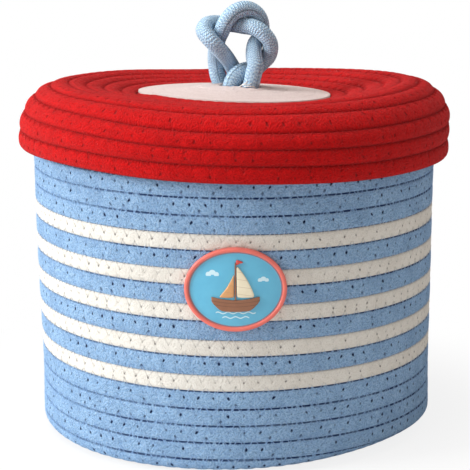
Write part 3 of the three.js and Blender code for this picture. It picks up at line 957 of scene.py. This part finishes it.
def lid_lip():
    """A soft collar that closes the lid's middle round the feet of the handle."""
    line, _ = smooth_line(handle_points, 1.0)
    height = line[:, 2] - LID_MIDDLE_TOP
    near = line[(height > -4.5) & (height < 1.5)][:, :2]
    angles = np.linspace(0, TURN, 144, endpoint=False)
    rays = np.stack([np.sin(angles), -np.cos(angles)], -1)
    ahead = near @ rays.T
    aside = np.abs(near[:, 0, None] * rays[:, 1] - near[:, 1, None] * rays[:, 0])
    grown = HANDLE_DIAMETER / 2 + 0.2
    reach = np.where(aside < grown, ahead + np.sqrt(np.clip(grown**2 - aside**2, 0, None)), 0)
    rolled = np.max([np.roll(reach.max(0), k) for k in range(-3, 4)], axis=0)
    spread = bump(np.arange(-9, 10), 0, 4.0)
    inner = sum(w * np.roll(rolled, k) for w, k in zip(spread, range(-9, 10))) / spread.sum()
    fold = 0.16 * np.sin(13 * angles + 0.7) + 0.14 * np.sin(21 * angles + 2.0)
    rise = 0.55 + fold + 0.2 * np.sin(angles)
    outer = 23.0 + 0.5 * np.sin(5 * angles)
    slope = math.tan(MOUND_SLOPE)
    rows = []
    for share, lift in ((1.0, -0.6), (0.8, -0.1), (0.55, 0.3), (0.3, 0.7), (0.12, 1.0), (0.0, 0.6)):
        radius = inner + 0.3 + (outer - inner) * share
        rows.append((radius, LID_MIDDLE_TOP - slope * radius + 0.1 + rise * lift))
    for inset, height in ((0.0, -0.8), (0.2, -2.6), (0.5, -4.6), (1.4, -5.2)):
        rows.append((inner + inset, LID_MIDDLE_TOP - slope * inner + height))
    rows.append((0.5 * (inner + outer), LID_MIDDLE_TOP - slope * inner - 3.4))
    rows.append((outer - 0.5, LID_MIDDLE_TOP - slope * outer - 1.0))
    rings = np.stack([stacked(r * rays[:, 0], r * rays[:, 1], z) for r, z in rows], 1)
    weave = stacked(angles[:, None] * 20, np.hypot(rings[..., 0], rings[..., 1]), 90)
    add_piece(
        "lid_centre_lip", "lid", felted_white_rope, "white_rope", None,
        settle_lid(rings), flipped(tube_faces(len(angles), len(rows), closed=True)),
        weave=weave, stitch=FAR_FROM_SEAMS, edge=FAR_FROM_SEAMS,
    )


lid_lip()

# ---- sewing thread at the handle: short ends on top, tacks round the tails underneath ----

sewing_thread = thread_material("sewing_thread")
TACK_THREAD = 0.8
THREAD_TINT = 0.84


def thread_piece(name, node, runs, thickness):
    """One piece of thread or more, each through a run of points."""
    points, faces, start = [], [], 0
    for run in runs:
        line, _ = smooth_line(run, 0.5)
        rings = rings_round(line, thickness / 2, np.linspace(0, TURN, 8, endpoint=False))
        faces += [f + start for f in tube_faces(*rings.shape[:2])]
        points.append(rings.reshape(-1, 3))
        start += len(points[-1])
    points = settle_lid(np.concatenate(points))
    add_piece(name, "lid", sewing_thread, "thread", node, points, faces, tint=THREAD_TINT)


# Three loose ends of thread, left where the handle's front foot is sewn down
thread_ends = [
    [(2.6, -13.4, -1.4), (4, -15, -0.3), (6.2, -15.6, 0.4), (8.4, -15.2, 0.3), (10.2, -14.9, 1.2)],
    [(3.2, -13, -1.4), (5, -14.9, 0.4), (6.8, -15.3, 1.2), (7.8, -15.1, 2.2)],
    [(5.4, -14.2, -1.4), (6.6, -15.9, -0.7), (8.8, -16.2, -0.5), (11.2, -15.5, -0.5),
     (12.6, -14, -1.5)],
]
thread_ends = [np.array(run) + (0, 0, LID_MIDDLE_TOP) for run in thread_ends]
thread_piece("handle_thread_ends", None, thread_ends, 0.6)


def tack(side, tail, towards, turns=4, steps=12):
    """A few turns of thread round a tail, up into the underside of the lid."""
    towards, up = np.array(towards, float), np.array([0, 0, 1])
    aside = np.array([-towards[1], towards[0], 0])
    centre = tail + towards * (TACK_DISTANCE - tail @ towards)
    reach = HANDLE_DIAMETER / 2 + TACK_THREAD / 2 + 0.1
    bend = math.pi / steps * np.arange(steps + 1)[:, None]
    arc = centre - reach * (aside * np.cos(bend) + up * np.sin(bend))
    loop = arc[[0, *range(steps + 1), steps]]
    loop[[0, -1], 2] = float(lid_path(TACK_DISTANCE, -HALF_ROPE)[1]) + 0.4
    loop = loop + towards * 0.35 * np.arange(len(loop))[:, None] / len(loop)
    aparts = (np.arange(turns) - (turns - 1) / 2)[:, None, None]
    run = (loop + towards * aparts * 1.15).reshape(-1, 3)
    thread_piece(f"handle_tack_{side}_thread", f"handle_tack_{side}", [run], TACK_THREAD)


tack("left", np.array(handle_points[0]), (-1, 0, 0))
tack("front", np.array(handle_points[-1]), (0, -1, 0))

# ---- oval badge of moulded soft plastic ----

badge_foot = base_run + corner_run
badge_rise = BADGE_CENTRE - float(basket_path(badge_foot, 0)[1])
badge_middle = badge_foot + badge_rise / math.cos(wall_lean)
badge_wall = float(basket_path(badge_middle, -HALF_ROPE)[0])


def on_badge(across, up, out):
    """Places on the badge, bent round the wall. Out is the radius at the badge's middle."""
    radius, height = basket_path(badge_middle + up, -HALF_ROPE)
    radius, angle = radius + out - badge_wall, across / BADGE_BACK
    return stacked(radius * np.sin(angle), -radius * np.cos(angle), height)


def plastic(name, roughness, colours, printed=None):
    """Soft moulded plastic in its own colour, a darker and a lighter one, with what is printed."""
    colour, dark, light = (linear(*display) for display in colours)
    t = material_tree(name)
    across, up, _ = t.split(t.stored("weave"))
    place = t.joined(across, up, 0.0)
    cloudy, grain, scuff = t.noise(place, 0.12, 3), t.noise(place, 4.0), t.noise(place, 0.9, 4, 0.7)
    cloud, rubbed = t.ranged(cloudy, 0.35, 0.7, 0.0, 0.35), t.ranged(scuff, 0.62, 0.78, 0.0, 0.3)
    shade = t.painted(colour, (cloud, dark), (rubbed, light))
    if printed:
        shade = t.painted(shade, *printed(t, across, up))
    return t.surface(
        shade, grain * 0.5 + scuff, 0.5, 0.0001,
        Roughness=roughness, Coat_Weight=0.25, Coat_Roughness=0.25,
    )


def plank_lines(t, across, up):
    """Two fine lines along the hull, bent with its keel."""
    bent = across**2 * -0.009 + up
    brown = linear(98, 58, 36)
    return [(t.ranged(abs(bent - level), 0.24, 0.1) * 0.7, brown) for level in (-7.6, -9.6)]


def sail_seams(t, across, up):
    """Fine sewn seams across a sail."""
    turn = t.math("FRACT", (across * 0.16 + up) * 0.24)
    return [(t.ranged(abs(turn - 0.5), 0.05, 0.02) * 0.45, linear(176, 142, 104))]


# Small round clouds, as (across, up, radius), and lines of waves, as (up, reach, phase)
CLOUDS = (
    (-14.5, 8.6, 1.5), (-12.4, 9.3, 1.9), (-10.2, 8.6, 1.4), (13.2, 5.2, 1.2), (15.0, 5.6, 1.6),
    (16.9, 5.1, 1.1),
)
WAVES = ((-13.2, 10.5, 0.0), (-15.8, 7.0, 1.7))


def sky_and_water(t, across, up):
    """Painted shade along the rim, small round clouds, and short pale wave lines under the boat."""
    pale = linear(206, 234, 244)
    wide = (across / (BADGE_WIDTH / 2 - BADGE_RIM_WIDTH)) ** 2
    tall = (up / (BADGE_HEIGHT / 2 - BADGE_RIM_WIDTH)) ** 2
    # Painted shade along the face's edge, where it meets the raised rim
    rim_shade = t.ranged(t.math("SQRT", wide + tall), 0.965, 0.985, 0.0, 0.75)
    layers = [(rim_shade, linear(150, 84, 78))]
    for middle, level, size in CLOUDS:
        away = t.math("SQRT", (across - middle) ** 2 + (up - level) ** 2)
        flat = t.ranged(up, level - (1.0 if size > 1.3 else 0.9), level - 0.75)
        layers.append((t.ranged(away, size + 0.1, size - 0.15) * flat, pale))
    for level, reach, phase in WAVES:
        wave = t.math("SINE", across * 1.15 + phase) * 0.45
        line = t.ranged(abs(up - level - wave), 0.42, 0.22)
        layers.append((line * t.ranged(abs(across), reach + 0.5, reach), pale))
    return layers


plastics = {
    name: plastic(name, roughness, colours, *printed)
    for name, roughness, colours, *printed in (
        ("badge_rim", 0.42, ((232, 112, 98), (208, 88, 78), (246, 150, 136))),
        ("badge_face", 0.3, ((96, 184, 218), (82, 168, 206), (140, 206, 232)), sky_and_water),
        ("badge_hull", 0.4, ((146, 94, 64), (122, 74, 48), (178, 126, 92)), plank_lines),
        ("badge_main_sail", 0.45, ((240, 228, 200), (222, 206, 172), (250, 244, 228)), sail_seams),
        ("badge_fore_sail", 0.45, ((218, 160, 104), (196, 134, 82), (236, 188, 140)), sail_seams),
        ("badge_pennant", 0.4, ((206, 66, 58), (180, 48, 44), (226, 110, 100))),
    )
}


def badge_piece(name, slot, material, node, outlines, out, centre=None):
    """Outlines on the badge, from its back over its front, joined to a closed piece.

    With a centre the first and the last outline are filled in. Without one they are joined.
    """
    rings, count = outlines.shape[:2]
    across, up = np.moveaxis(outlines, -1, 0)
    points = on_badge(across, up, out[:, None]).reshape(-1, 3)
    weave = stacked(across, up, 0).reshape(-1, 3)
    faces = tube_faces(rings, count, closed=centre is None)[:1]
    if centre is not None:
        corner, last = np.arange(count), (rings - 1) * count
        faces += [fan(last + count, corner)[:, ::-1], fan(last + count + 1, corner + last)]
        points = np.concatenate([points, on_badge(*centre, out[[0, -1]])])
        weave = np.concatenate([weave, [[*centre, 0]] * 2])
    points = settle_basket(points)
    add_piece(name, "basket", plastics[material], slot, node, points, faces, weave=weave)


def oval_piece(name, node, rings, centre=None):
    """A piece made of ovals, each given as (inset from the badge's edge, out)."""
    inset, out = np.array(rings).T
    angles = np.linspace(0, TURN, 160, endpoint=False)
    sizes = np.array([BADGE_WIDTH / 2, BADGE_HEIGHT / 2]) - inset[:, None, None]
    ovals = sizes * stacked(np.cos(angles), np.sin(angles))
    badge_piece(name, node, node, node, ovals, out, centre)


RIM_ROLL = 1.9
rim_rise = BADGE_RIM_FRONT - BADGE_BACK - RIM_ROLL
rim_rings = [(0.15, BADGE_BACK)]
for step in range(13):
    bow = math.pi * step / 12
    reach = math.copysign(abs(math.cos(bow)) ** 0.8, math.cos(bow))
    roll = RIM_ROLL * math.sin(bow) ** 0.8
    rim_rings.append((BADGE_RIM_WIDTH / 2 * (1 - reach), BADGE_BACK + rim_rise + roll))
rim_rings.append((BADGE_RIM_WIDTH - 0.15, BADGE_BACK))
oval_piece("badge_soft_rim", "badge_rim", rim_rings)

face_rings = [(BADGE_RIM_WIDTH + 0.3, BADGE_BACK + 0.2)]
for inset in (0.05, 0.2, 0.5, 1.0, 2.0, 3.5, 5.5, 8.0, 11.0, 14.5, 18.0):
    share = 1 - (inset / 18.9) ** 0.9
    lip = 0.3 * math.exp(-inset / 0.5)
    face_rings.append((BADGE_RIM_WIDTH - 0.1 + inset, BADGE_FACE_FRONT - 0.35 * share**2 + lip))
oval_piece("badge_domed_face", "badge_face", face_rings, (0, 0))

# The rounded edge of the raised pieces, as (inset, out from the badge's face)
RAISED_EDGE = (
    (0.1, -0.5), (0.0, 0.3), (0.1, 0.62), (0.28, 0.84), (0.55, 0.93), (1.0, 0.98), (1.8, 1.0),
)


def raised_shape(name, slot, material, node, outline):
    """A raised piece of the badge's picture with rounded edges, from its outline."""
    inset, out = np.array(RAISED_EDGE).T
    centre = outline.mean(0)
    arms = outline - centre
    shrink = 1 - np.minimum(inset[:, None] / np.linalg.norm(arms, axis=1), 0.75)
    outlines = centre + arms * shrink[..., None]
    badge_piece(name, slot, material, node, outlines, BADGE_FACE_FRONT + out, centre)


def rounded(corners, bulges, samples=14):
    """A closed outline through corners, each side bowed outwards by its bulge."""
    outline = []
    for k, corner in enumerate(corners):
        start, end = np.array(corner, float), np.array(corners[(k + 1) % len(corners)], float)
        side = end - start
        normal = np.array([side[1], -side[0]]) / np.linalg.norm(side)
        for step in range(samples):
            share = step / samples
            outline.append(start + side * share + normal * bulges[k] * 4 * share * (1 - share))
    outline = np.array(outline)
    for _ in range(2):
        outline = (np.roll(outline, 1, 0) + 2 * outline + np.roll(outline, -1, 0)) / 4
    return outline


hull_side = [(13, -4), (13, -6.4), (11, -9.2), (7.2, -12.2)]
hull_corners = [(-across, up) for across, up in hull_side[1:]] + hull_side[::-1] + [(-13, -4)]
for name, slot, material, node, *outline in (
    ("boat_hull", "badge_hull", "badge_hull", "badge_hull",
     hull_corners, [0.2, 0.3, 0.4, 0.3, 0.2, 0, -2.0, 0]),
    ("tall_sail", "badge_main_sail", "badge_main_sail", "badge_main_sail",
     [(0.6, -4.3), (10.4, -4.3), (0.6, 14.0)], [0.3, 1.1, 0.0]),
    ("short_sail", "badge_fore_sail", "badge_fore_sail", "badge_fore_sail",
     [(-9.0, -4.3), (-0.7, -4.3), (-0.7, 9.0)], [0.3, 0.0, -0.7]),
    ("mast", "badge_hull", "badge_hull", None,
     [(-0.45, -6.0), (0.45, -6.0), (0.35, 15.4), (-0.35, 15.4)], [0, 0, 0, 0], 8),
    ("pennant", "badge_rim", "badge_pennant", None,
     [(0.4, 13.6), (4.6, 15.4), (0.4, 16.9)], [-0.3, 0.3, 0], 8),
):
    raised_shape("badge_" + name, slot, material, node, rounded(*outline))

# ---- floor, light and background ----


def add_floor():
    mesh = bpy.data.meshes.new("floor")
    mesh.from_pydata([(-4, -4, 0), (4, -4, 0), (4, 4, 0), (-4, 4, 0)], [], [(0, 1, 2, 3)])
    floor = add_object("floor", mesh)
    floor.location.z = -0.0004
    t = material_tree("floor")
    diffuse = t.node("BsdfDiffuse", {"Color": (0.9, 0.9, 0.9, 1)})
    glow = t.node("Emission", {"Color": (1, 1, 1, 1), "Strength": 1.0})
    far = t.node("VectorMath", {0: t.place()}, "Value", operation="LENGTH")
    lifted = t.node("LightPath", output="Is Camera Ray") * t.ranged(far, 0.125, 0.26, 0.84, 1.0)
    mixed = t.node("MixShader", {0: lifted, 1: diffuse, 2: glow})
    below, clear = t.node("NewGeometry", output="Backfacing"), t.node("BsdfTransparent")
    t.new("OutputMaterial", {0: t.node("MixShader", {0: below, 1: mixed, 2: clear})})
    mesh.materials.append(t.owner)


def add_area(name, place, size, power, colour, target=(0, 0, 0.12)):
    data = bpy.data.lights.new(name, "AREA")
    data.size = size
    data.color = colour
    data.energy = power
    lamp = add_object(name, data)
    lamp.location = place
    lamp.rotation_euler = (Vector(target) - Vector(place)).to_track_quat("-Z", "Y").to_euler()


def add_world():
    """Plain white for the camera, glosses and clear things, and a warm soft light for the rest."""
    scene.world = bpy.data.worlds.new("studio")
    t = Tree(scene.world)
    kinds = ("Camera", "Glossy", "Transmission")
    camera, gloss, clear = (t.node("LightPath", output=f"Is {kind} Ray") for kind in kinds)
    either = t.math("MAXIMUM", t.math("MAXIMUM", camera, gloss), clear)
    ambient = t.node("Background", {"Color": (1, 0.94, 0.88, 1), "Strength": 0.43})
    white = t.node("Background", {"Color": (1, 1, 1, 1)})
    t.new("OutputWorld", {0: t.node("MixShader", {0: either, 1: ambient, 2: white})})


add_floor()
add_area("key", (-1.82, -0.52, 0.95), 0.8, 42, (0.95, 0.99, 1.0))
add_area("top", (-0.4, -0.2, 1.8), 1.0, 14.5, (1.0, 1.0, 1.0))
add_world()
scene.view_settings.view_transform = "Standard"
